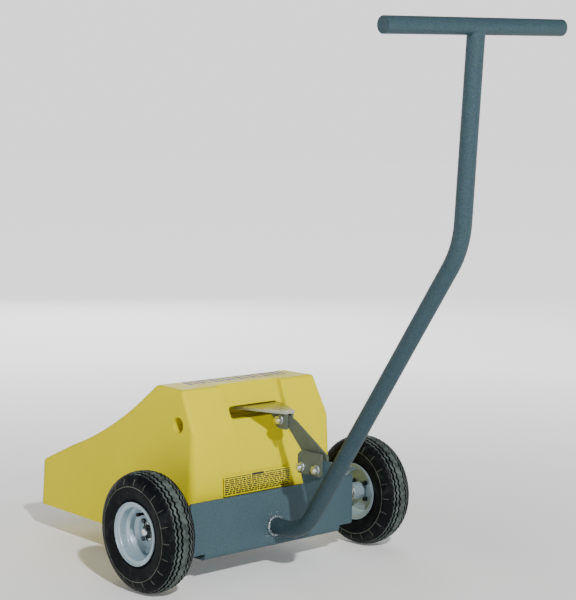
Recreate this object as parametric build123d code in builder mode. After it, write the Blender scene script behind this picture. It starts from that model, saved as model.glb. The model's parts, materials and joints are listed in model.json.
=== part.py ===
"""Wheel chock on its two-wheeled dolly.

A hollow moulded wedge chock sits on the steel shelf of a dolly. The dolly has two pneumatic
wheels on stub spindles, a bent tube handle with a cross grip, and a two-pivot latch whose
hook plate reaches into the hand slot at the back of the chock.

Frame, millimetres: +X is right, +Y is towards the chock's low nose, +Z is up, and the floor
is Z = 0. Side outlines are drawn in (forward of the axle, above the floor).
"""
import math
import os

from build123d import *

os.makedirs("parts", exist_ok=True)

# ---------------------------------------------------------------- wheels
wheel_radius = 130.0
half_track = 324.0
tyre_half_width = 40.0
tyre_wall = 7.0
rim_sheet = 2.2
rim_disc = -8.0          # plane where the two rim halves meet, outward of the wheel's middle
hub_radius = 20.0
hub_inner_end = -46.0
hub_outer_end = -1.0
bearing_radius = 17.5
bearing_width = 11.0
spindle_radius = 8.0
spindle_end = 10.0
running_gap = 0.05
rim_bolt_circle = 27.0
rim_bolt_count = 4

# ---------------------------------------------------------------- carrier
plate_sheet = 6.0
plate_rear = -44.0
plate_half_width = 243.0
plate_bottom = 69.0
plate_top = 183.0
shelf_half_width = 202.0
shelf_top = 59.7
shelf_front = 196.0
bracket_sheet = 8.0
bracket_nose = 27.0

# ---------------------------------------------------------------- handle
tube_radius = 18.0
tube_wall = 3.0
tube_foot_height = 101.0
tube_bends = [(-136.0, 101.0), (-570.0, 751.0)]
tube_bend_radii = [100.0, 180.0]
grip_centre = (-594.0, 1176.0)
grip_radius = 16.9
grip_half_length = 235.0
grip_cap_sheet = 3.0
grip_yaw = 4.5           # the cross grip is welded on slightly out of square
grip_tilt = 2.5

# ---------------------------------------------------------------- chock
body_bottom = 66.0
body_top = 413.0
body_back = -15.4
body_nose = 603.0
back_half_width = 215.0
nose_half_width = 194.0
side_draft = 2.5
cleat_height = 6.0
cleat_count = 9
break_height = 296.0
top_back = 44.0
top_front = 141.0
recess_depth = 14.0
recess_foot_half = 76.0
recess_head_half = 92.0
recess_foot = 268.0
recess_corner = 16.0
recess_lip = 2.5
slot_half_width = 74.0
slot_bottom = 338.0
slot_top = 365.5
slot_end = 84.0
cavity_half_width = 172.0
cross_bore = (53.0, 335.0)
cross_bore_radius = 18.0
label_size = (197.0, 44.0)
label_centre = (-28.0, 200.0)
label_sheet = 0.5

# ---------------------------------------------------------------- latch
link_pivot = (-186.0, 251.0)
tie_point = (-139.0, 251.0)
hook_pivot = (-60.0, 342.0)
latch_sheet = 6.0
lug_half = 4.0
arm_left = 5.0           # left face of the arm; the tube lug's right face is at lug_half
cheek_right = -5.0
hook_gap = 2.0           # either side of the arm, between the two hook lugs
hook_plate_top = 363.0
pin_radius = 5.0
nut_height = 8.0
head_height = 6.5
nut_across = 17.0
washer_sheet = 2.0
washer_radius = 10.0
spacer_radius = 8.0

# side outlines, in (forward of the axle, above the floor)
cavity_outline = [(-3, 80), (588, 80), (588, 148), (470, 214), (336, 273), (210, 350),
                  (150, 394), (92, 394), (92, 305), (24, 305), (-1, 258)]
arm_outline = [(-72, 332), (-120, 283), (-126, 278), (-126, 236), (-200, 236), (-200, 281),
               (-98, 344), (-66, 355)]
cheek_outline = [(-126, 236), (-199, 236), (-199, 286), (-136, 286), (-126, 277)]
# plan of the hook plate, in (X, forward of the axle)
hook_outline = [(-6, -80), (-48, 34), (-52, 46), (64, 46), (72, 14), (38, -48), (22, -80)]

# The outline runs from the grip's far corner to the nose, and its middle is Y = 0.
grip_reach = (grip_half_length + grip_cap_sheet) * math.sin(math.radians(grip_yaw))
rear_reach = -grip_centre[0] + grip_reach + grip_radius * math.cos(math.radians(grip_yaw))
axle_y = (rear_reach - body_nose) / 2

axle_point = (0, axle_y, wheel_radius)
axle = Axis(axle_point, (1, 0, 0))
axle_section = Plane(origin=axle_point, x_dir=(1, 0, 0), z_dir=(0, -1, 0))
sides = {"left": -1, "right": 1}


def place(point):
    """A side-outline point, forward of the axle and above the floor, in the part's frame."""
    return (point[0] + axle_y, point[1])


def side_plane(x):
    """The vertical fore-and-aft plane at x; its local axes are Y and Z."""
    return Plane.YZ.offset(x)


def finish(piece, label):
    piece.part.label = label
    export_step(piece.part, f"parts/{label}.step")


def turned(outline, side):
    """A ring about the axle. The outline's points are (outward of the wheel's middle, radius)."""
    with BuildPart() as ring:
        with BuildSketch(axle_section):
            with BuildLine():
                Polyline(*[(side * (half_track + u), r) for u, r in outline], close=True)
            make_face()
        revolve(axis=axle)
    return ring


def collar(inner, outer, start, end):
    """The outline of a plain ring, for turned()."""
    return [(start, inner), (end, inner), (end, outer), (start, outer)]


# ================================================================ wheels
def make_tyre(side, label):
    """Round-shouldered carcass, open towards the rim, with a bead on each lip."""
    crown, shoulder, widest, bead = wheel_radius, 121.0, 98.0, 60.0
    with BuildPart() as tyre:
        with BuildSketch(axle_section):
            with BuildLine():
                middle = side * half_track
                half = tyre_half_width
                Spline((middle - 28.5, bead), (middle - 31, 71), (middle - half, widest),
                       (middle - 31, shoulder), (middle, crown), (middle + 31, shoulder),
                       (middle + half, widest), (middle + 31, 71), (middle + 28.5, bead))
                inner = half - tyre_wall
                Line((middle + 28.5, bead), (middle + 21, bead))
                Spline((middle + 21, bead), (middle + 25, 72), (middle + inner, widest),
                       (middle, crown - tyre_wall - 2), (middle - inner, widest),
                       (middle - 25, 72), (middle - 21, bead))
                Line((middle - 21, bead), (middle - 28.5, bead))
            make_face()
        revolve(axis=axle)
    finish(tyre, label)


def make_inner_tube(side, label):
    """Inflated tube that fills the carcass."""
    centre_radius, section_radius, wall = 91.0, 28.0, 2.5
    with BuildPart() as tube:
        with BuildSketch(axle_section):
            with Locations((side * half_track, centre_radius)):
                Circle(section_radius)
                Circle(section_radius - wall, mode=Mode.SUBTRACT)
        revolve(axis=axle)
    finish(tube, label)


def make_rim_half(path, side, label):
    """A pressed half rim: sheet that follows the path, drilled for the hub and the rim bolts."""
    with BuildPart() as rim:
        with BuildSketch(axle_section):
            with BuildLine() as section:
                points = [(side * (half_track + u), r) for u, r in path]
                FilletPolyline(*points, radius=2.0)
            trace(section.line, line_width=rim_sheet)
        revolve(axis=axle)
        with BuildSketch(Plane.YZ.offset(side * (half_track + rim_disc))):
            with Locations((axle_y, wheel_radius)):
                with PolarLocations(rim_bolt_circle, rim_bolt_count, start_angle=45):
                    Circle(3.2)
        extrude(amount=10, both=True, mode=Mode.SUBTRACT)
    finish(rim, label)


def make_hub(side, label):
    """Welded hub barrel with a counterbore at each end for a bearing."""
    neck = bearing_radius - 2.5
    seat = bearing_width
    outline = [(hub_inner_end, bearing_radius), (hub_inner_end + seat, bearing_radius),
               (hub_inner_end + seat, neck), (hub_outer_end - seat, neck),
               (hub_outer_end - seat, bearing_radius), (hub_outer_end, bearing_radius),
               (hub_outer_end, hub_radius), (hub_inner_end, hub_radius)]
    finish(turned(outline, side), label)


def make_bearing(start, side, label):
    """Shielded ball bearing drawn as one ring, with the shield set back from both faces."""
    end = start + bearing_width
    inner, outer, shield = spindle_radius + running_gap, bearing_radius, 0.8
    inner_race, outer_race = inner + 2.6, outer - 2.6
    outline = [(start, inner), (end, inner), (end, inner_race), (end - shield, inner_race),
               (end - shield, outer_race), (end, outer_race), (end, outer), (start, outer),
               (start, outer_race), (start + shield, outer_race),
               (start + shield, inner_race), (start, inner_race)]
    finish(turned(outline, side), label)


def make_rim_fasteners(side, name):
    """Hexagon bolts through both rim halves, heads outside, nuts inside."""
    outer_face = side * (half_track + rim_disc + rim_sheet)
    inner_face = side * (half_track + rim_disc - rim_sheet)
    with BuildPart() as bolts:
        with BuildSketch(Plane.YZ.offset(outer_face)):
            with Locations((axle_y, wheel_radius)):
                with PolarLocations(rim_bolt_circle, rim_bolt_count, start_angle=45):
                    RegularPolygon(5.8, 6)
        extrude(amount=side * 4.0)
        with BuildSketch(Plane.YZ.offset(outer_face)):
            with Locations((axle_y, wheel_radius)):
                with PolarLocations(rim_bolt_circle, rim_bolt_count, start_angle=45):
                    Circle(3.0)
        extrude(amount=-side * 13.0)
    finish(bolts, f"rim_bolts_{name}")
    with BuildPart() as nuts:
        with BuildSketch(Plane.YZ.offset(inner_face)):
            with Locations((axle_y, wheel_radius)):
                with PolarLocations(rim_bolt_circle, rim_bolt_count, start_angle=45):
                    RegularPolygon(5.8, 6)
                    Circle(3.0, mode=Mode.SUBTRACT)
        extrude(amount=-side * 5.0)
    finish(nuts, f"rim_nuts_{name}")


def make_valve(side, name):
    """Valve stem that leaves the rim's well inwards and turns out of the dish, with its cap."""
    root, elbow, tip = (4.0, 46.8), (4.0, 40.0), (20.0, 40.0)
    x_root, x_tip = side * (half_track + root[0]), side * (half_track + tip[0])
    with BuildPart() as stem:
        with BuildLine(axle_section) as path:
            FilletPolyline((x_root, root[1]), (x_root, elbow[1]), (x_tip, tip[1]), radius=5.0)
        with BuildSketch(Plane(path.line @ 0, z_dir=path.line % 0)):
            Circle(3.0)
        sweep()
    finish(stem, f"valve_stem_{name}")
    with BuildPart() as cap:
        with BuildSketch(Plane.YZ.offset(x_tip)):
            with Locations((axle_y, wheel_radius + tip[1])):
                Circle(4.0)
        extrude(amount=side * 9.0)
        fillet(cap.faces().sort_by(Axis.X)[-1 if side > 0 else 0].edges(), 1.2)
    finish(cap, f"valve_cap_{name}")


def make_wheel(name, side):
    make_tyre(side, f"tyre_{name}")
    make_inner_tube(side, f"inner_tube_{name}")
    half = rim_sheet / 2
    outer_path = [(37, 66.5), (33, 66.5), (31.5, 57), (14, 56), (10, 50.5), (-1, 47),
                  (rim_disc + half, 38), (rim_disc + half, hub_radius)]
    inner_path = [(-37, 66.5), (-33, 66.5), (-31.5, 57), (-15, 56),
                  (rim_disc - half, 49), (rim_disc - half, hub_radius)]
    make_rim_half(outer_path, side, f"rim_outer_{name}")
    make_rim_half(inner_path, side, f"rim_inner_{name}")
    make_hub(side, f"hub_{name}")
    make_bearing(hub_outer_end - bearing_width, side, f"bearing_outer_{name}")
    make_bearing(hub_inner_end, side, f"bearing_inner_{name}")
    make_rim_fasteners(side, name)
    make_valve(side, name)


# ================================================================ axle parts
def make_axle_end(name, side):
    """Spindle through the bracket, its spacer, the end washer and the cotter pin."""
    bracket_face = plate_half_width - half_track
    pin_at, pin_hole = spindle_end - 4.5, 1.7
    with BuildPart() as spindle:
        with BuildSketch(Plane.YZ.offset(side * (half_track + bracket_face - 14))):
            with Locations((axle_y, wheel_radius)):
                Circle(spindle_radius)
        extrude(amount=side * (spindle_end - bracket_face + 14))
        end_face = spindle.faces().sort_by(Axis.X)[-1 if side > 0 else 0]
        chamfer(end_face.edges(), 1.5)
        with BuildSketch(Plane.XY.offset(wheel_radius)):
            with Locations((side * (half_track + pin_at), axle_y)):
                Circle(pin_hole)
        extrude(amount=20, both=True, mode=Mode.SUBTRACT)
    finish(spindle, f"spindle_{name}")

    spacer = collar(spindle_radius + 0.2, 13.0, bracket_face, hub_inner_end - 0.5)
    finish(turned(spacer, side), f"axle_spacer_{name}")
    washer = collar(spindle_radius + 0.2, 15.0, hub_outer_end + 0.5, hub_outer_end + 3.0)
    finish(turned(washer, side), f"axle_washer_{name}")

    with BuildPart() as cotter:
        with BuildSketch(Plane.XY.offset(wheel_radius - 15)):
            with Locations((side * (half_track + pin_at), axle_y)):
                Circle(pin_hole - 0.1)
        extrude(amount=29)
        eye = Plane(origin=(side * (half_track + pin_at), axle_y, wheel_radius + 16.5),
                    x_dir=(0, 1, 0), z_dir=(1, 0, 0))
        with BuildSketch(eye):
            Circle(4.2)
            Circle(1.8, mode=Mode.SUBTRACT)
        extrude(amount=1.5, both=True)
    finish(cotter, f"cotter_pin_{name}")


def make_bracket(name, side):
    """End plate welded to the carrier; its round nose holds the spindle."""
    with BuildPart() as bracket:
        with BuildSketch(side_plane(side * plate_half_width)):
            with BuildLine():
                back = plate_rear + plate_sheet
                low, high = plate_bottom + 4, plate_top - 4
                Polyline(place((0, wheel_radius + bracket_nose)), place((back, high)),
                         place((back, low)), place((0, wheel_radius - bracket_nose)))
                ThreePointArc(place((0, wheel_radius - bracket_nose)),
                              place((bracket_nose, wheel_radius)),
                              place((0, wheel_radius + bracket_nose)))
            make_face()
            with Locations(place((0, wheel_radius))):
                Circle(spindle_radius, mode=Mode.SUBTRACT)
        extrude(amount=-side * bracket_sheet)
    finish(bracket, f"axle_bracket_{name}")


# ================================================================ carrier and handle
def make_carrier():
    """Upright plate with a narrower tongue bent forward under the chock as a shelf."""
    shelf_bottom = shelf_top - plate_sheet
    front = plate_rear + plate_sheet
    middle = (plate_bottom + plate_top) / 2
    with BuildPart() as carrier_plate:
        with BuildSketch(Plane.XZ.offset(-(plate_rear + axle_y))):
            with Locations((0, middle)):
                RectangleRounded(2 * plate_half_width, plate_top - plate_bottom, 5)
        extrude(amount=-plate_sheet)
        with BuildSketch(side_plane(0)):
            with BuildLine():
                Polyline(place((plate_rear, plate_bottom + 10)), place((front, plate_bottom + 10)),
                         place((front, shelf_top)), place((shelf_front, shelf_top)),
                         place((shelf_front, shelf_bottom)), place((plate_rear, shelf_bottom)),
                         close=True)
            sheet = make_face()
            heel = sheet.vertices().group_by(Axis.X)[0].sort_by(Axis.Y)[0]
            inside = sheet.vertices().group_by(Axis.X)[1].sort_by(Axis.Y)[0]
            fillet(heel, plate_sheet + 4)
            fillet(inside, 4)
        extrude(amount=shelf_half_width, both=True)
        front_face = carrier_plate.faces().sort_by(Axis.Y)[-1]
        fillet(front_face.edges().filter_by(Axis.Z), 20)
    finish(carrier_plate, "carrier_plate")


def grip_frame():
    """The cross grip's plane: its normal runs along the grip, from left to right."""
    yaw, tilt = math.radians(grip_yaw), math.radians(grip_tilt)
    along = Vector(math.cos(tilt) * math.cos(yaw), -math.cos(tilt) * math.sin(yaw),
                   math.sin(tilt))
    y, z = place(grip_centre)
    return Plane(origin=(0, y, z), x_dir=(math.sin(yaw), math.cos(yaw), 0), z_dir=along)


def make_handle():
    """Bent tube from the carrier's back up to the cross grip, fish-mouthed round the grip."""
    foot = (plate_rear, tube_foot_height)
    points = [place(p) for p in [foot, *tube_bends, grip_centre]]
    with BuildPart() as handle_tube:
        with BuildLine(side_plane(0)) as route:
            FilletPolyline(*points, radius=tube_bend_radii)
        with BuildSketch(Plane(route.line @ 0, z_dir=route.line % 0)):
            Circle(tube_radius)
            Circle(tube_radius - tube_wall, mode=Mode.SUBTRACT)
        sweep()
        with BuildSketch(grip_frame()):
            Circle(grip_radius)
        extrude(amount=40, both=True, mode=Mode.SUBTRACT)
    finish(handle_tube, "handle_tube")

    with BuildPart() as cross_grip:
        with BuildSketch(grip_frame()):
            Circle(grip_radius)
            Circle(grip_radius - tube_wall, mode=Mode.SUBTRACT)
        extrude(amount=grip_half_length, both=True)
    finish(cross_grip, "cross_grip")

    for name, side in sides.items():
        with BuildPart() as cap:
            with BuildSketch(grip_frame().offset(side * grip_half_length)):
                Circle(grip_radius)
            extrude(amount=side * grip_cap_sheet)
        finish(cap, f"grip_cap_{name}")


def make_tube_lug():
    """Gusset on the front of the tube: it holds the link's pivot, and its shoulder is the stop."""
    shoulder = tie_point[1] - spacer_radius - 0.3
    with BuildPart() as tube_lug:
        with BuildSketch(side_plane(0)):
            with BuildLine():
                Polyline(place((-159, 160)), place((-131, 229)), place((-129, shoulder)),
                         place((-153, shoulder)), place((-160, 262)), place((-172, 271)),
                         place((-240, 271)), place((-180, 160)), close=True)
            make_face()
            with Locations(place(link_pivot)):
                Circle(pin_radius + running_gap, mode=Mode.SUBTRACT)
        extrude(amount=lug_half, both=True)
        points = [place(p) for p in [(plate_rear, tube_foot_height), *tube_bends, grip_centre]]
        with BuildLine(side_plane(0)) as route:
            FilletPolyline(*points, radius=tube_bend_radii)
        with BuildSketch(Plane(route.line @ 0, z_dir=route.line % 0)):
            Circle(tube_radius)
        sweep(mode=Mode.SUBTRACT)
    finish(tube_lug, "tube_lug")


# ================================================================ chock
def make_chock():
    """Hollow moulding: low nose, concave ramp, short flat top, leaning back, cleats below."""
    lean = (top_back - body_back) / (body_top - break_height)
    nose_top, ramp_foot, ramp_head = (body_nose, 170), (470, 228), (205, 366)
    with BuildPart() as wedge_body:
        with BuildSketch(side_plane(0)):
            with BuildLine():
                Polyline(place(ramp_head), place((top_front, body_top)),
                         place((top_back, body_top)), place((body_back, break_height)),
                         place((body_back, body_bottom)), place((body_nose, body_bottom)),
                         place(nose_top), place(ramp_foot))
                ThreePointArc(place(ramp_foot), place((336, 286.5)), place(ramp_head))
            outline = make_face()
            for at, radius in (((top_front, body_top), 18), ((top_back, body_top), 10),
                               ((body_back, break_height), 25), (nose_top, 14)):
                corner = outline.vertices().sort_by_distance((*place(at), 0))[0]
                outline = fillet(corner, radius)
        extrude(amount=260, both=True)
        with BuildSketch(Plane.XY.offset(body_bottom)):
            with BuildLine():
                back, nose = body_back + axle_y, body_nose + axle_y
                Polyline((-back_half_width, back), (back_half_width, back),
                         (nose_half_width, nose), (-nose_half_width, nose), close=True)
            plan = make_face()
            fillet(plan.vertices(), 26)
        extrude(amount=body_top - body_bottom + 1, taper=side_draft, mode=Mode.INTERSECT)
        fillet(upper_side_edges(wedge_body), 9)

        # hand recess: a channel down the leaning back that runs out on the upright face
        slope = math.sqrt(1 + lean ** 2)
        floor_height = break_height - recess_depth * lean / slope
        floor_y = body_back + axle_y + recess_depth / slope
        foot, head = (recess_foot - floor_height) * slope, (body_top + 20 - floor_height) * slope
        recess_floor = Plane(origin=(0, floor_y, floor_height), x_dir=(1, 0, 0),
                             z_dir=(0, -1, lean))
        with BuildSketch(recess_floor):
            with BuildLine():
                Polyline((-recess_foot_half, foot), (recess_foot_half, foot),
                         (recess_head_half, head), (-recess_head_half, head), close=True)
            channel = make_face()
            fillet(channel.vertices().sort_by(Axis.Z)[:2], recess_corner)
        extrude(amount=40, taper=-4, mode=Mode.SUBTRACT)
        rim = [e for e in wedge_body.edges(Select.LAST)
               if recess_floor.to_local_coords(e.center()).Z > 2 and abs(e.center().X) > 20
               and e.center().Z > recess_foot]
        fillet(rim, recess_lip)

        # hand slot, which the latch's hook plate enters
        slot_middle = (slot_bottom + slot_top) / 2
        with BuildSketch(Plane.XZ.offset(-(slot_end + axle_y))):
            with Locations((0, slot_middle)):
                RectangleRounded(2 * slot_half_width, slot_top - slot_bottom, 9)
        extrude(amount=slot_end - body_back, mode=Mode.SUBTRACT)

        # cross bore
        with BuildSketch(side_plane(0)):
            with Locations(place(cross_bore)):
                Circle(cross_bore_radius)
        extrude(amount=260, both=True, mode=Mode.SUBTRACT)

        # closed hollow of the moulding
        with BuildSketch(side_plane(0)):
            with BuildLine():
                Polyline(*[place(p) for p in cavity_outline], close=True)
            make_face()
        extrude(amount=cavity_half_width, both=True, mode=Mode.SUBTRACT)

        # cleats under the sole
        pitch = (body_nose - 90) / cleat_count
        with BuildSketch(Plane.XY.offset(body_bottom)):
            with Locations((0, axle_y + body_nose / 2)):
                with GridLocations(0, pitch, 1, cleat_count):
                    RectangleRounded(2 * nose_half_width - 40, 26, 8)
        extrude(amount=-cleat_height)
    finish(wedge_body, "wedge_body")

    with BuildPart() as rating_label:
        with BuildSketch(Plane.XZ.offset(-(body_back + axle_y))):
            with Locations(label_centre):
                RectangleRounded(*label_size, 2)
        extrude(amount=label_sheet)
    finish(rating_label, "rating_label")


def upper_side_edges(body):
    """The sharp edges where the top, the ramp and the leaning back meet the two sides."""
    upward = [f for f in body.faces() if f.normal_at().Z > 0.2 and f.area > 800]
    edges = [e for f in upward for e in f.edges() if abs(e.center().X) > 120]
    shared = [e for e in edges if sum(e.is_same(other) for other in edges) == 1]
    return [e for e in shared if abs(e.tangent_at(0.5).X) < 0.5]


# ================================================================ latch
def nut_envelope(face, at, height):
    """A round blank with turned-off rims, which cuts a hexagon's corners to a nut's shape."""
    with BuildPart() as envelope:
        with BuildSketch(side_plane(face)):
            with Locations(place(at)):
                Circle(nut_across / math.sqrt(3))
        extrude(amount=height)
        chamfer(envelope.edges(), 0.9)
    return envelope.part


def make_pin(label, at, head_face, tail_face, tail_length):
    """Hexagon bolt along X at a side point: head on the right, thread end on the left."""
    with BuildPart() as pin:
        with BuildSketch(side_plane(head_face)):
            with Locations(place(at)):
                RegularPolygon(nut_across / 2, 6, major_radius=False)
        extrude(amount=head_height)
        add(nut_envelope(head_face, at, head_height), mode=Mode.INTERSECT)
        with BuildSketch(side_plane(head_face)):
            with Locations(place(at)):
                Circle(pin_radius - running_gap / 2)
        extrude(amount=-(head_face - tail_face + tail_length))
        chamfer(pin.faces().sort_by(Axis.X)[0].edges(), 1)
    finish(pin, label)


def make_nut(label, at, face):
    """Hexagon nut whose right face lies at x = face."""
    with BuildPart() as nut:
        with BuildSketch(side_plane(face)):
            with Locations(place(at)):
                RegularPolygon(nut_across / 2, 6, major_radius=False)
        extrude(amount=-nut_height)
        add(nut_envelope(face, at, -nut_height), mode=Mode.INTERSECT)
        with BuildSketch(side_plane(face)):
            with Locations(place(at)):
                Circle(pin_radius)
        extrude(amount=-nut_height, mode=Mode.SUBTRACT)
    finish(nut, label)


def make_washers(label, rings):
    """Flat washers, one for each (side point, left face, thickness)."""
    with BuildPart() as washers:
        for at, left, thickness in rings:
            with BuildSketch(side_plane(left)):
                with Locations(place(at)):
                    Circle(washer_radius)
                    Circle(pin_radius + running_gap, mode=Mode.SUBTRACT)
            extrude(amount=thickness)
    finish(washers, label)


def make_link():
    """Arm and cheek either side of the tube lug, joined by the tie bolt and its spacer."""
    arm_right = arm_left + latch_sheet
    cheek_left = cheek_right - latch_sheet
    with BuildPart() as link_arm:
        with BuildSketch(side_plane(arm_left)):
            with BuildLine():
                Polyline(*[place(p) for p in arm_outline], close=True)
            plate = make_face()
            fillet(plate.vertices(), 6)
            with Locations(place(hook_pivot)):
                Circle(14)
            for at in (link_pivot, tie_point, hook_pivot):
                with Locations(place(at)):
                    Circle(pin_radius, mode=Mode.SUBTRACT)
        extrude(amount=latch_sheet)
    finish(link_arm, "link_arm")

    with BuildPart() as link_cheek:
        with BuildSketch(side_plane(cheek_left)):
            with BuildLine():
                Polyline(*[place(p) for p in cheek_outline], close=True)
            plate = make_face()
            fillet(plate.vertices(), 4)
            for at in (link_pivot, tie_point):
                with Locations(place(at)):
                    Circle(pin_radius, mode=Mode.SUBTRACT)
        extrude(amount=latch_sheet)
    finish(link_cheek, "link_cheek")

    with BuildPart() as link_spacer:
        with BuildSketch(side_plane(cheek_right)):
            with Locations(place(tie_point)):
                Circle(spacer_radius)
                Circle(pin_radius, mode=Mode.SUBTRACT)
        extrude(amount=arm_left - cheek_right)
    finish(link_spacer, "link_spacer")

    rings = []
    for label, at in (("pivot", link_pivot), ("tie", tie_point)):
        head_face, nut_face = arm_right + washer_sheet, cheek_left - washer_sheet
        make_pin(f"{label}_bolt", at, head_face, nut_face, nut_height + 4)
        make_nut(f"{label}_nut", at, nut_face)
        rings += [(at, arm_right, washer_sheet), (at, nut_face, washer_sheet)]
    make_washers("link_washers", rings)


def make_hook():
    """Hook plate on two lugs that straddle the arm's upper end, on one bolt."""
    arm_right = arm_left + latch_sheet
    lug_faces = {"left": arm_left - hook_gap - latch_sheet, "right": arm_right + hook_gap}
    plate_bottom_face = hook_plate_top - latch_sheet
    with BuildPart() as hook_plate:
        with BuildSketch(Plane.XY.offset(plate_bottom_face)):
            with BuildLine():
                Polyline(*[(x, y + axle_y) for x, y in hook_outline], close=True)
            plate = make_face()
            fillet(plate.vertices(), 3)
            for left in lug_faces.values():
                with Locations((left + latch_sheet / 2, hook_pivot[0] + axle_y + 10)):
                    Rectangle(latch_sheet, 50, mode=Mode.SUBTRACT)
        extrude(amount=latch_sheet)
    finish(hook_plate, "hook_plate")

    for name, left in lug_faces.items():
        with BuildPart() as lug:
            with BuildSketch(side_plane(left)):
                with BuildLine():
                    y, z = hook_pivot
                    Polyline(place((y, z - 20)), place((y - 19, z - 20)),
                             place((y - 19, plate_bottom_face)),
                             place((y + 38, plate_bottom_face)), place((y + 20, z)))
                    TangentArc(place((y + 20, z)), place((y, z - 20)), tangent=(0, -1))
                make_face()
                with Locations(place((hook_pivot[0] + 10, hook_plate_top - latch_sheet / 2))):
                    Rectangle(50, latch_sheet)
                with Locations(place(hook_pivot)):
                    Circle(pin_radius + running_gap, mode=Mode.SUBTRACT)
            extrude(amount=latch_sheet)
        finish(lug, f"hook_lug_{name}")

    head_face = lug_faces["right"] + latch_sheet + washer_sheet
    nut_face = lug_faces["left"] - washer_sheet
    make_pin("hook_bolt", hook_pivot, head_face, nut_face, nut_height + 3)
    make_nut("hook_nut", hook_pivot, nut_face)
    make_washers("hook_washers", [(hook_pivot, head_face - washer_sheet, washer_sheet),
                                  (hook_pivot, nut_face, washer_sheet)])


for wheel_name, wheel_side in sides.items():
    make_wheel(wheel_name, wheel_side)
    make_axle_end(wheel_name, wheel_side)
    make_bracket(wheel_name, wheel_side)
make_carrier()
make_handle()
make_tube_lug()
make_chock()
make_link()
make_hook()
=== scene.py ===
"""Looks for the wheel chock dolly: materials, tyres, welds, print and small hardware.

Every length is in metres, in the CAD frame: +X right, +Y towards the chock's nose, +Z up.
"""
import json
import math
import random

import bpy
from mathutils import Matrix, Vector


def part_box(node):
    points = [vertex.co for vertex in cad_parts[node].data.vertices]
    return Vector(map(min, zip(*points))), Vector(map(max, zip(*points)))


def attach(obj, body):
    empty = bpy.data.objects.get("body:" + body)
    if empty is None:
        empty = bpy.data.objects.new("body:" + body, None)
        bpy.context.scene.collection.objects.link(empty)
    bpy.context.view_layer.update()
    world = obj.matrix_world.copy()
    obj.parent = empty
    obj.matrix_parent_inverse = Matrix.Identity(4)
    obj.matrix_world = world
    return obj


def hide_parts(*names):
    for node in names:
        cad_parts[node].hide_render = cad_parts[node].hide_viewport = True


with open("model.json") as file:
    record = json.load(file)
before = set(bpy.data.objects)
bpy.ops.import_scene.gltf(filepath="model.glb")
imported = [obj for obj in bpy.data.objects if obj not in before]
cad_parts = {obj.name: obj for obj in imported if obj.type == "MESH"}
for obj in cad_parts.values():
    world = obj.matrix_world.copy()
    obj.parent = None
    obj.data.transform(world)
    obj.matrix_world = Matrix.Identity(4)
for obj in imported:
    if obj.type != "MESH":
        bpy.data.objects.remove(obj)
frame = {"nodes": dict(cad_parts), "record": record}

MM = 0.001
SIDES = {"left": -1, "right": 1}
SHARP_EDGE = math.radians(38)        # on the pieces made here
SHARP_CAD_EDGE = math.radians(30)    # on the CAD nodes
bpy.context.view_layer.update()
joints = {j["name"]: j for j in frame["record"]["behaviour"]["joints"]}
half_track, axle_y, wheel_radius = joints["wheel_right_spin"]["pos_m"]
axle = Vector((0, axle_y, wheel_radius))


# ================================================================ mesh helpers
def add_piece(name, points, faces, materials, body, face_material=None, smooth=True):
    """A mesh object from points and faces, riding on a body."""
    mesh = bpy.data.meshes.new(name)
    mesh.from_pydata([tuple(p) for p in points], [], faces)
    mesh.update()
    for m in materials:
        mesh.materials.append(m)
    if face_material:
        for polygon, index in zip(mesh.polygons, face_material):
            polygon.material_index = index
    if smooth:
        mesh.shade_smooth()
        mesh.set_sharp_from_angle(angle=SHARP_EDGE)
    obj = bpy.data.objects.new(name, mesh)
    bpy.context.scene.collection.objects.link(obj)
    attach(obj, body)
    return obj


def ring_faces(rings, size, close_rings=True, close_section=True):
    """Quads between consecutive rings of points, all of the same size."""
    faces = []
    last = rings if close_rings else rings - 1
    around = size if close_section else size - 1
    for i in range(last):
        for j in range(around):
            a, b = i * size + j, i * size + (j + 1) % size
            c, d = ((i + 1) % rings) * size + (j + 1) % size, ((i + 1) % rings) * size + j
            faces.append((a, b, c, d))
    return faces


def bead_along(path, radius, closed, ripple=0.18, pitch=0.0045, sides=10, seed=3):
    """Points and faces of a weld bead: a lumpy tube whose ripples follow the path.

    An open bead tapers at its ends. A ripple of 0 gives plain, slightly uneven wire.
    """
    rng = random.Random(seed)
    points, count = [], len(path)
    reference = Vector((0.31, 0.22, 0.92))      # runs along none of the paths
    unevenness, end_taper = 0.05, 0.35
    travelled = 0.0
    for i, p in enumerate(path):
        ahead = path[(i + 1) % count] if closed or i + 1 < count else p
        behind = path[i - 1] if closed or i > 0 else p
        along = (ahead - behind).normalized()
        travelled += (p - path[i - 1]).length if i else 0.0
        side = along.cross(reference).normalized()
        up = side.cross(along)
        wave = abs(math.sin(math.pi * travelled / pitch))
        r = radius * (1 - ripple + ripple * wave + rng.uniform(-unevenness, unevenness))
        if not closed and i in (0, count - 1):
            r *= end_taper
        for k in range(sides):
            angle = 2 * math.pi * k / sides
            points.append(p + side * (r * math.cos(angle)) + up * (r * math.sin(angle)))
    faces = ring_faces(count, sides, close_rings=closed)
    if not closed:
        faces.append(tuple(range(sides)))
        faces.append(tuple(reversed(range((count - 1) * sides, count * sides))))
    return points, faces


def weld(name, path, radius, body, closed=False, seed=3):
    points, faces = bead_along(path, radius, closed, seed=seed)
    add_piece(name, points, faces, [weld_bead], body)


def straight(start, end, step=0.0012):
    count = max(2, int((end - start).length / step))
    return [start.lerp(end, i / count) for i in range(count + 1)]


def circle(centre, radius, normal, count=120):
    """Points round a circle whose normal is a unit vector."""
    side = normal.orthogonal().normalized()
    up = normal.cross(side)
    turns = [2 * math.pi * i / count for i in range(count)]
    return [centre + side * (radius * math.cos(t)) + up * (radius * math.sin(t)) for t in turns]


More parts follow.
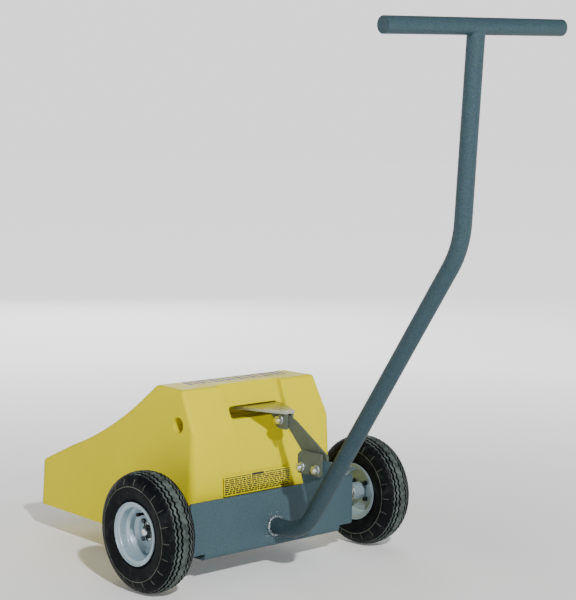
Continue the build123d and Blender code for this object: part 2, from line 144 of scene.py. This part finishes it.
# ================================================================ material helpers
class Shader:
    """A Principled material with short calls for the nodes that feed it."""

    def __init__(self, name, metallic=0.0, specular=0.5, coat=0.0, ior=1.5):
        self.material = bpy.data.materials.new(name)
        self.material.use_nodes = True
        self.tree = self.material.node_tree
        self.surface = self.tree.nodes["Principled BSDF"]
        self.surface.inputs["Metallic"].default_value = metallic
        self.surface.inputs["Specular IOR Level"].default_value = specular
        self.surface.inputs["Coat Weight"].default_value = coat
        self.surface.inputs["Coat Roughness"].default_value = 0.25
        self.surface.inputs["IOR"].default_value = ior
        self.place = self.node("ShaderNodeTexCoord").outputs["Object"]

    def node(self, kind, **settings):
        made = self.tree.nodes.new(kind)
        for key, value in settings.items():
            setattr(made, key, value)
        return made

    def link(self, source, target):
        self.tree.links.new(source, target)

    def stretched(self, scale):
        """Object coordinates scaled by a vector, for grain that runs one way."""
        mapping = self.node("ShaderNodeMapping")
        mapping.inputs["Scale"].default_value = scale
        self.link(self.place, mapping.inputs["Vector"])
        return mapping.outputs["Vector"]

    def noise(self, scale, detail=3.0, roughness=0.55, place=None):
        made = self.node("ShaderNodeTexNoise")
        made.inputs["Scale"].default_value = scale
        made.inputs["Detail"].default_value = detail
        made.inputs["Roughness"].default_value = roughness
        self.link(place or self.place, made.inputs["Vector"])
        return made.outputs["Fac"]

    def cells(self, scale):
        made = self.node("ShaderNodeTexVoronoi", feature="F1")
        made.inputs["Scale"].default_value = scale
        self.link(self.place, made.inputs["Vector"])
        return made.outputs["Distance"]

    def remap(self, value, low, high, to_low=0.0, to_high=1.0):
        made = self.node("ShaderNodeMapRange")
        for key, number in (("From Min", low), ("From Max", high),
                            ("To Min", to_low), ("To Max", to_high)):
            made.inputs[key].default_value = number
        self.link(value, made.inputs["Value"])
        return made.outputs["Result"]

    def ramp(self, value, stops):
        """A colour from a value; stops are (position, colour)."""
        made = self.node("ShaderNodeValToRGB")
        band = made.color_ramp
        while len(band.elements) < len(stops):
            band.elements.new(0.5)
        for element, (position, colour) in zip(band.elements, stops):
            element.position = position
            element.color = (*colour, 1)
        self.link(value, made.inputs["Fac"])
        return made.outputs["Color"]

    def mix(self, factor, first, second):
        made = self.node("ShaderNodeMix", data_type="RGBA")
        self.link(factor, made.inputs["Factor"])
        for index, colour in ((6, first), (7, second)):
            if isinstance(colour, tuple):
                made.inputs[index].default_value = (*colour, 1)
            else:
                self.link(colour, made.inputs[index])
        return made.outputs[2]

    def colour(self, source):
        self.link(source, self.surface.inputs["Base Color"])

    def roughness(self, value, low, high, to_low, to_high):
        self.link(self.remap(value, low, high, to_low, to_high), self.surface.inputs["Roughness"])

    def bump(self, *layers):
        """Layers of (height, strength, distance), one on another."""
        normal = None
        for height, strength, distance in layers:
            made = self.node("ShaderNodeBump")
            made.inputs["Strength"].default_value = strength
            made.inputs["Distance"].default_value = distance
            self.link(height, made.inputs["Height"])
            if normal:
                self.link(normal, made.inputs["Normal"])
            normal = made.outputs["Normal"]
        self.link(normal, self.surface.inputs["Normal"])


# ================================================================ materials
def make_chock_plastic():
    """Bright yellow moulded plastic: cloudy tone, faint mould texture, a few rubbed marks."""
    s = Shader("chock plastic", specular=0.5, ior=1.12)
    cloud = s.noise(5.0, 4.0)
    base = s.ramp(cloud, [(0.3, (0.64, 0.55, 0.0)), (0.7, (0.69, 0.60, 0.0))])
    scuff = s.remap(s.noise(38.0, 8.0, 0.7, s.stretched((1, 3, 1))), 0.63, 0.75)
    base = s.mix(scuff, base, (0.58, 0.48, 0.002))
    s.colour(base)
    s.roughness(s.noise(22.0, 5.0), 0.3, 0.7, 0.34, 0.5)
    s.bump((s.noise(260.0, 2.0), 0.12, 0.0006), (s.noise(1400.0, 1.0), 0.10, 0.0002),
           (s.noise(4.0, 1.0), 0.25, 0.002))
    return s.material


def make_hammered_paint(name, tints, roughness=(0.38, 0.55), relief=0.35, specular=0.14,
                        metallic=0.0):
    """Paint with a fine speckle and a hammered relief; tints are dark, middle, light and warm."""
    s = Shader(name, specular=specular, metallic=metallic)
    speckle = s.noise(1100.0, 2.0, 0.6)
    patch = s.noise(420.0, 3.0, 0.6)
    dark, middle, light, warm = tints
    fine = s.ramp(speckle, [(0.35, dark), (0.5, middle), (0.68, light)])
    base = s.mix(s.remap(patch, 0.52, 0.64), fine, warm)
    s.colour(base)
    s.roughness(speckle, 0.3, 0.7, *roughness)
    s.bump((s.cells(700.0), relief, 0.0003), (s.noise(1600.0, 2.0), 0.12, 0.0001))
    return s.material


def make_zinc():
    """Bright zinc plate with faint blue and straw patches and fine drawing lines."""
    s = Shader("bright zinc", metallic=1.0)
    patch = s.noise(90.0, 3.0)
    s.colour(s.ramp(patch, [(0.35, (0.62, 0.68, 0.74)), (0.52, (0.80, 0.82, 0.82)),
                            (0.68, (0.78, 0.76, 0.62))]))
    grain = s.noise(300.0, 4.0, 0.6, s.stretched((0.4, 6, 6)))
    s.roughness(grain, 0.3, 0.7, 0.2, 0.4)
    s.bump((grain, 0.12, 0.0002))
    return s.material


def make_rim_steel():
    """Silver lacquer over pressed steel: smooth, with faint draw marks and dust."""
    s = Shader("rim lacquer", metallic=0.45, coat=0.3)
    haze = s.noise(14.0, 4.0)
    s.colour(s.ramp(haze, [(0.3, (0.30, 0.40, 0.46)), (0.7, (0.38, 0.49, 0.55))]))
    s.roughness(s.noise(120.0, 4.0), 0.3, 0.7, 0.26, 0.42)
    s.bump((s.noise(60.0, 2.0), 0.08, 0.0006), (s.noise(900.0, 2.0), 0.06, 0.0001))
    return s.material


def make_rubber(name, dark, light, low, high, roughness=(0.45, 0.7)):
    """Black rubber with a film of dust where the noise is high."""
    s = Shader(name, specular=0.06)
    dust = s.remap(s.noise(46.0, 6.0, 0.65), low, high)
    s.colour(s.mix(dust, dark, light))
    s.roughness(s.noise(80.0, 3.0), 0.3, 0.7, *roughness)
    s.bump((s.noise(700.0, 3.0), 0.25, 0.0004))
    return s.material


def make_weld_bead():
    """Shiny ripple-frozen weld metal under thin paint."""
    s = Shader("weld bead", metallic=0.7)
    patch = s.noise(220.0, 3.0)
    s.colour(s.ramp(patch, [(0.35, (0.05, 0.075, 0.085)), (0.62, (0.36, 0.42, 0.45))]))
    s.roughness(patch, 0.3, 0.7, 0.2, 0.45)
    s.bump((s.noise(500.0, 2.0), 0.3, 0.0004))
    return s.material


def make_ink():
    """Black print, slightly worn."""
    s = Shader("print ink")
    wear = s.remap(s.noise(240.0, 6.0, 0.7), 0.62, 0.8)
    s.colour(s.mix(wear, (0.012, 0.012, 0.012), (0.12, 0.10, 0.02)))
    s.roughness(s.noise(150.0), 0.3, 0.7, 0.4, 0.6)
    return s.material


def make_label_film():
    """Thin film in the chock's yellow, a touch lighter."""
    s = Shader("label film", specular=0.5, ior=1.15)
    tone = s.noise(30.0, 3.0)
    s.colour(s.ramp(tone, [(0.3, (0.68, 0.59, 0.001)), (0.7, (0.73, 0.64, 0.003))]))
    s.roughness(s.noise(90.0), 0.3, 0.7, 0.3, 0.42)
    s.bump((s.noise(60.0, 2.0), 0.1, 0.0003))
    return s.material


def make_floor():
    """White light-table floor: dim under the object, glowing white further out."""
    s = Shader("studio floor", specular=0.2)
    s.colour(s.ramp(s.noise(1.5, 3.0), [(0.3, (0.90, 0.90, 0.90)), (0.7, (0.93, 0.93, 0.93))]))
    s.roughness(s.noise(6.0), 0.3, 0.7, 0.6, 0.75)
    distance = s.node("ShaderNodeVectorMath", operation="LENGTH")
    s.link(s.place, distance.inputs[0])
    glow = s.remap(distance.outputs["Value"], 0.6, 3.4, 0.1, 1.3)
    s.surface.inputs["Emission Color"].default_value = (1, 1, 1, 1)
    s.link(glow, s.surface.inputs["Emission Strength"])
    return s.material


def make_painted_shade_steel():
    """Fasteners painted near black for the shade round the wheel hub, with worn, brighter patches.
    """
    s = Shader("steel with painted shade", metallic=0.85)
    wear = s.noise(260.0, 4.0)
    # Near-black base: painted shade of the wheel bowl, not the steel's own colour.
    s.colour(s.ramp(wear, [(0.45, (0.02, 0.024, 0.026)), (0.72, (0.16, 0.18, 0.19))]))
    s.roughness(wear, 0.3, 0.7, 0.25, 0.5)
    s.bump((s.noise(500.0, 2.0), 0.15, 0.0002))
    return s.material


chock_plastic = make_chock_plastic()
tube_paint = make_hammered_paint("hammered grey", [(0.007, 0.020, 0.028), (0.024, 0.049, 0.065),
                                                   (0.062, 0.10, 0.128), (0.036, 0.060, 0.052)])
plate_paint = make_hammered_paint("plate grey", [(0.023, 0.046, 0.059), (0.051, 0.094, 0.118),
                                                 (0.080, 0.120, 0.150), (0.049, 0.075, 0.073)],
                                  (0.42, 0.58), 0.2)
# The olive, yellowish cast in the latch grey and bright latch plate tints is a painted reflection
# of the yellow chock; the grey beneath is the steel's own colour.
latch_steel = make_hammered_paint("latch grey", [(0.05, 0.065, 0.06), (0.085, 0.105, 0.085),
                                                 (0.14, 0.16, 0.13), (0.11, 0.125, 0.07)],
                                  (0.32, 0.48), 0.1)
plate_steel = make_hammered_paint("bright latch plate", [(0.22, 0.23, 0.20), (0.34, 0.35, 0.30),
                                                         (0.46, 0.47, 0.42), (0.36, 0.36, 0.26)],
                                  (0.2, 0.34), 0.05, specular=0.5, metallic=0.9)
zinc = make_zinc()
rim_steel = make_rim_steel()
sidewall_rubber = make_rubber("sidewall rubber", (0.004, 0.005, 0.006), (0.018, 0.022, 0.022),
                              0.52, 0.75, (0.36, 0.55))
# Lighter rubber for the tread's rib tops: dust, and a painted sheen where the ribs catch the
# light.
tread_dust_and_sheen = make_rubber("tread rubber with dust and painted sheen", (0.024, 0.032, 0.030), (0.105, 0.13, 0.12),
                           0.35, 0.65, (0.5, 0.75))
black_rubber = make_rubber("valve rubber", (0.01, 0.01, 0.01), (0.05, 0.05, 0.05), 0.55, 0.8)
weld_bead = make_weld_bead()
ink = make_ink()
label_film = make_label_film()
painted_shade_steel = make_painted_shade_steel()
# Lighter grey for the tyre's raised ring and sidewall lines: painted highlight, with dust where
# the noise is high.
raised_line_highlight = make_rubber("raised line rubber with painted highlight", (0.06, 0.065, 0.05), (0.16, 0.17, 0.14), 0.3, 0.7)


def dress_cad_nodes():
    """Gives every CAD node its material and smooth shading between its sharp edges."""
    by_slot = {"chock_yellow": chock_plastic, "label_film": label_film,
               "carrier_paint": plate_paint, "zinc_steel": zinc, "rim_steel": rim_steel,
               "tyre_rubber": sidewall_rubber, "tube_rubber": black_rubber,
               "black_plastic": black_rubber}
    by_node = {"handle_tube": tube_paint, "cross_grip": tube_paint, "grip_cap_left": tube_paint,
               "grip_cap_right": tube_paint, "tube_lug": plate_paint}
    for name in frame["record"]["behaviour"]["bodies"]["link"]:
        by_node[name] = latch_steel if name in ("link_arm", "link_cheek") else zinc
    for name in ("hook_lug_left", "hook_lug_right"):
        by_node[name] = latch_steel
    by_node["hook_plate"] = plate_steel
    # Rim bolts, nuts and axle washers take the steel painted near black for the shade round the
    # hub.
    for side in SIDES:
        for part in ("rim_bolts", "rim_nuts", "axle_washer"):
            by_node[f"{part}_{side}"] = painted_shade_steel
    slots = {s["node"]: s["material_slot"] for s in frame["record"]["subparts"]}
    for name, node in frame["nodes"].items():
        chosen = by_node.get(name, by_slot[slots[name]])
        node.data.materials.clear()
        node.data.materials.append(chosen)
        node.data.shade_smooth()
        node.data.set_sharp_from_angle(angle=SHARP_CAD_EDGE)


# ================================================================ tyres
# Sections are in millimetres, as (distance from the wheel's middle plane, radius).
WAVES = 56               # zigzags round the tread
STEPS_PER_WAVE = 8
WAVE_HEIGHT = 1.9
CROWN_DROP, CROWN_REACH = 9.0, 31.0
SIDEWALL_RIBS = 20
# Rib tops get the lighter tread rubber: dust and a painted sheen; grooves and walls stay black.
RUBBER, DUST_AND_SHEEN, LINE = 0, 1, 2       # places in the tyre's list of materials


def crown(u):
    """Tread radius at a distance u from the middle of the tread."""
    return wheel_radius / MM - CROWN_DROP * (u / CROWN_REACH) ** 2


def tyre_half_section():
    """Half the section, crown to bead: (distance, radius, zigzag, look of the next face)."""
    groove, depth, lean, rib = 4.4, 6.0, 0.5, 2.4
    section = [(0.0, crown(0), 0.0, DUST_AND_SHEEN)]
    for edge in (7.6, 17.0):
        far = edge + groove
        section += [(edge, crown(edge), 1.0, RUBBER),
                    (edge + lean, crown(edge) - depth, 1.0, RUBBER),
                    (far - lean, crown(far) - depth, 1.0, RUBBER), (far, crown(far), 1.0, DUST_AND_SHEEN),
                    (far + rib, crown(far + rib), 0.9, DUST_AND_SHEEN)]
    section[-1] = (*section[-1][:3], RUBBER)
    section += [(29.5, crown(29.5), 0.0, RUBBER), (31.3, 118.8, 0.0, RUBBER),
                (33.2, 116.6, 0.0, RUBBER), (36.6, 111.0, 0.0, RUBBER), (38.6, 105.0, 0.0, RUBBER),
                (39.1, 101.3, 0.0, RUBBER), (40.0, 100.9, 0.0, LINE), (40.0, 99.5, 0.0, RUBBER),
                (39.1, 99.1, 0.0, RUBBER), (39.0, 93.0, 0.0, RUBBER), (37.6, 84.0, 0.0, RUBBER),
                (35.6, 76.0, 0.0, RUBBER), (35.2, 73.5, 0.0, RUBBER), (34.2, 72.6, 0.0, RUBBER),
                (32.6, 69.6, 0.0, RUBBER), (30.0, 66.0, 0.0, RUBBER), (28.5, 60.5, 0.0, RUBBER)]
    return section


def make_tyre(name, side):
    """The tyre with its zigzag tread, in place of the plain CAD tyre."""
    half = tyre_half_section()
    looks = [look for _, _, _, look in half[:-1]]
    section = [(-u, r, -z) for u, r, z, _ in half[:0:-1]] + [(u, r, z) for u, r, z, _ in half]
    looks = looks[::-1] + looks
    steps = WAVES * STEPS_PER_WAVE
    points, face_looks = [], []
    for k in range(steps):
        turn = 2 * math.pi * k / steps
        zigzag = WAVE_HEIGHT * (abs(4 * (k % STEPS_PER_WAVE) / STEPS_PER_WAVE - 2) - 1)
        for u, r, z in section:
            out = u + abs(z) * zigzag
            points.append(Vector((side * half_track + out * MM,
                                  axle_y + r * MM * math.cos(turn),
                                  wheel_radius + r * MM * math.sin(turn))))
        face_looks += looks
    faces = ring_faces(steps, len(section), close_section=False)
    materials = [sidewall_rubber, tread_dust_and_sheen, raised_line_highlight]
    obj = add_piece(f"tread_{name}", points, faces, materials, f"wheel_{name}",
                    face_looks)
    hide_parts(f"tyre_{name}")


def make_sidewall_lines(name, side):
    """Thin raised lines on both sidewalls, running out from the ring line to the shoulder."""
    path = [(38.9, 101.5), (38.6, 105.0), (36.6, 111.0), (33.4, 116.4)]
    half_width, height, lean = 0.5, 0.5, 0.3
    points, faces = [], []
    for face_side in (-1, 1):
        for k in range(SIDEWALL_RIBS):
            turn = 2 * math.pi * (k + 0.5 * (face_side > 0)) / SIDEWALL_RIBS
            radial = Vector((0, math.cos(turn), math.sin(turn)))
            across = Vector((0, -math.sin(turn), math.cos(turn)))
            start = len(points)
            for u, r in path:
                at = axle + Vector((side * half_track + face_side * u * MM, 0, 0))
                at += radial * (r * MM)
                lift = Vector((face_side * height * MM, 0, 0)) + radial * (lean * MM)
                points += [at - across * (half_width * MM), at + lift,
                           at + across * half_width * MM]
            for i in range(len(path) - 1):
                a = start + 3 * i
                faces += [(a, a + 1, a + 4, a + 3), (a + 1, a + 2, a + 5, a + 4)]
    add_piece(f"sidewall_lines_{name}", points, faces, [raised_line_highlight], f"wheel_{name}",
              smooth=False)


# ================================================================ small hardware
def make_cotter(name, side):
    """Split pin through the spindle: round eye above, two splayed legs below."""
    low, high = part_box(f"cotter_pin_{name}")
    x = (low.x + high.x) / 2
    wire, eye, eye_steps = 0.0015, 0.0036, 24
    gap, above, below = 0.0007, 0.011, 0.009         # the straight run through the spindle
    splay, drop, bend_steps = 0.009, 0.0095, 8       # the bent ends
    eye_centre = Vector((x, axle_y, wheel_radius + 0.0155))
    legs = []
    for turn in (-1, 1):
        path = []
        for i in range(eye_steps + 1):
            t = math.pi * (0.02 + 0.98 * i / eye_steps)
            path.append(eye_centre + Vector((0, turn * eye * math.sin(t), eye * math.cos(t))))
        path += straight(Vector((x, axle_y + turn * gap, wheel_radius + above)),
                         Vector((x, axle_y + turn * gap, wheel_radius - below)), 0.002)
        for i in range(1, bend_steps + 1):
            bend = turn * splay * (i / bend_steps) ** 1.6
            path.append(Vector((x, axle_y + turn * gap + bend,
                                wheel_radius - below - drop * i / bend_steps)))
        legs.append(path)
    points, faces = [], []
    for path in legs:
        more, quads = bead_along(path, wire, False, ripple=0.0, sides=10)
        faces += [tuple(len(points) + v for v in f) for f in quads]
        points += more
    # The split pin takes the steel painted near black for the shade round the hub.
    obj = add_piece(f"split_pin_{name}", points, faces, [painted_shade_steel], "cart")
    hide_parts(f"cotter_pin_{name}")


# ================================================================ welds
def make_welds():
    """Beads at the tube's foot, down each bracket's inner corner and round each spindle."""
    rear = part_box("carrier_plate")[0].y
    tube_radius, foot_height = 0.018, 0.101
    foot = Vector((0, rear - 0.0015, foot_height))
    weld("foot_weld", circle(foot, tube_radius + 0.0022, Vector((0, 1, 0)), 160), 0.0042, "cart",
         closed=True)
    make_spatter("foot_spatter", Vector((0, rear - 0.0001, foot_height)), Vector((0, -1, 0)),
                 tube_radius + 0.016, 60, "cart")
    end_margin, spindle_bead = 0.006, 0.0138
    for name, side in SIDES.items():
        low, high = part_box(f"axle_bracket_{name}")
        inner, outer = (low.x, high.x) if side > 0 else (high.x, low.x)
        corner_y = low.y + 0.001
        corner = straight(Vector((inner, corner_y, low.z + end_margin)),
                          Vector((inner, corner_y, high.z - end_margin)))
        weld(f"bracket_weld_{name}", corner, 0.0034, "cart", seed=5)
        ring = circle(Vector((outer, axle_y, wheel_radius)), spindle_bead, Vector((1, 0, 0)), 90)
        weld(f"spindle_weld_{name}", ring, 0.0026, "cart", closed=True)


def make_spatter(name, centre, normal, reach, count, body):
    """Weld spatter: small flattened beads scattered round a weld on a flat face."""
    rng = random.Random(21)
    side = normal.orthogonal().normalized()
    up = normal.cross(side)
    sides = 8
    points, faces = [], []
    for _ in range(count):
        turn, far = rng.uniform(0, 2 * math.pi), rng.uniform(reach * 0.72, reach)
        size = rng.uniform(0.0005, 0.0013)
        at = centre + side * (far * math.cos(turn)) + up * (far * math.sin(turn))
        start = len(points)
        points.append(at + normal * size)
        for ring, lift in ((0.6, 0.75), (1.0, 0.0)):
            for k in range(sides):
                angle = 2 * math.pi * k / sides
                points.append(at + side * (ring * size * math.cos(angle))
                              + up * (ring * size * math.sin(angle)) + normal * (lift * size))
        inner, outer = start + 1, start + 1 + sides
        for k in range(sides):
            after = (k + 1) % sides
            faces += [(start, inner + k, inner + after),
                      (inner + k, outer + k, outer + after, inner + after)]
    add_piece(name, points, faces, [weld_bead], body)


# ================================================================ print
def make_bars(name, rows, place, body):
    """Flat bars of print. rows holds (left, low, width, height, slant) in the print's plane."""
    points, faces = [], []
    for left, low, width, height, slant in rows:
        start = len(points)
        for u, v in ((left, low), (left + width, low), (left + width + slant, low + height),
                     (left + slant, low + height)):
            points.append(place(u, v))
        faces.append(tuple(range(start, start + 4)))
    add_piece(name, points, faces, [ink], body, smooth=False)


def make_label_print():
    """Stand-in print: a header block between two rules, and rows of dashes, no lettering."""
    rng = random.Random(11)
    low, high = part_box("rating_label")
    face = low.y - 0.0001
    width = high.x - low.x
    middle = (low.x + high.x) / 2
    margin, header, gap, rows_of_text = 0.002, 0.036, 0.003, 8
    header_height, rule_height, dash_height = 0.0052, 0.0022, 0.0030
    top = high.z - 0.005
    bars = [(middle - header / 2, top - 0.0012, header, header_height, 0)]
    rule = width / 2 - margin - header / 2 - gap
    bars += [(low.x + margin, top + 0.0002, rule, rule_height, 0),
             (high.x - margin - rule, top + 0.0002, rule, rule_height, 0)]
    pitch = (top - 0.004 - low.z) / rows_of_text
    for row in range(rows_of_text):
        x, z = low.x + margin, top - 0.005 - row * pitch
        while x < high.x - margin - gap:
            dash = min(rng.uniform(0.005, 0.015), high.x - margin - x)
            bars.append((x, z, dash, dash_height, 0))
            x += dash + rng.uniform(0.0015, 0.0024)
    make_bars("label_print", bars, lambda u, v: Vector((u, face, v)), "chock")


def make_top_marking():
    """A plain row of slanted double bars across the chock's flat top."""
    _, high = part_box("wedge_body")
    top = high.z + 0.0002
    count, pitch, first = 8, 0.0375, -0.137
    wide, narrow, gap, depth, slant = 0.014, 0.009, 0.006, 0.044, 0.005
    near = axle_y + 0.091
    bars = []
    for i in range(count):
        x = first + i * pitch
        bars += [(x, near, wide, depth, slant), (x + wide + gap, near, narrow, depth, slant)]
    make_bars("top_marking", bars, lambda u, v: Vector((u, v, top)), "chock")


# ================================================================ stage
def make_camera():
    """A long-lens view from behind and to the left, a little above the chock."""
    place = Vector((-2.308, -2.566 + axle_y, 0.947))
    yaw, pitch, roll = (math.radians(a) for a in (42.83, 5.69, 0.80))
    focal = 1562.0 / 600.0           # in picture heights, the picture being 576 x 600
    forward = Vector((math.sin(yaw) * math.cos(pitch), math.cos(yaw) * math.cos(pitch),
                      -math.sin(pitch)))
    right = Vector((math.cos(yaw), -math.sin(yaw), 0))
    up = right.cross(forward)
    level_right = right * math.cos(roll) + up * math.sin(roll)
    level_up = up * math.cos(roll) - right * math.sin(roll)
    data = bpy.data.cameras.new("camera")
    data.lens = data.sensor_width * focal
    camera = bpy.data.objects.new("camera", data)
    turn = Matrix((level_right, level_up, -forward)).transposed().to_4x4()
    camera.matrix_world = Matrix.Translation(place) @ turn
    bpy.context.scene.collection.objects.link(camera)
    bpy.context.scene.camera = camera


def add_light(name, place, target, size, power):
    """A white disc light at place, aimed at target."""
    data = bpy.data.lights.new(name, "AREA")
    data.shape, data.size, data.energy = "DISK", size, power
    light = bpy.data.objects.new(name, data)
    light.location = place
    light.rotation_euler = (Vector(target) - Vector(place)).to_track_quat("-Z", "Y").to_euler()
    bpy.context.scene.collection.objects.link(light)


def make_stage():
    """A wide floor, a world that is bright at the horizon and dim above, and three lights."""
    reach = 60.0
    mesh = bpy.data.meshes.new("floor")
    mesh.from_pydata([(-reach, -reach, 0), (reach, -reach, 0), (reach, reach, 0),
                      (-reach, reach, 0)], [], [(0, 1, 2, 3)])
    mesh.materials.append(make_floor())
    floor = bpy.data.objects.new("floor", mesh)
    bpy.context.scene.collection.objects.link(floor)
    world = bpy.data.worlds.new("studio")
    world.use_nodes = True
    nodes, links = world.node_tree.nodes, world.node_tree.links
    nodes["Background"].inputs["Color"].default_value = (1, 1, 1, 1)
    height = nodes.new("ShaderNodeSeparateXYZ")
    horizon = nodes.new("ShaderNodeMapRange")
    for key, number in (("From Min", 0.10), ("From Max", 0.3), ("To Min", 1.5), ("To Max", 0.16)):
        horizon.inputs[key].default_value = number
    links.new(nodes.new("ShaderNodeTexCoord").outputs["Generated"], height.inputs[0])
    links.new(height.outputs["Z"], horizon.inputs["Value"])
    links.new(horizon.outputs["Result"], nodes["Background"].inputs["Strength"])
    bpy.context.scene.world = world
    add_light("key", (-2.4, -5.0, 4.1), (0, 0, 0.3), 0.3, 500)
    add_light("top", (0.5, 0.5, 4.5), (0, 0, 0.2), 3.0, 15)
    add_light("fill", (2.8, 4.6, 2.2), (0, 0, 0.4), 3.0, 90)


make_camera()
make_stage()
dress_cad_nodes()
for wheel_name, wheel_side in SIDES.items():
    make_tyre(wheel_name, wheel_side)
    make_sidewall_lines(wheel_name, wheel_side)
    make_cotter(wheel_name, wheel_side)
make_welds()
make_label_print()
make_top_marking()
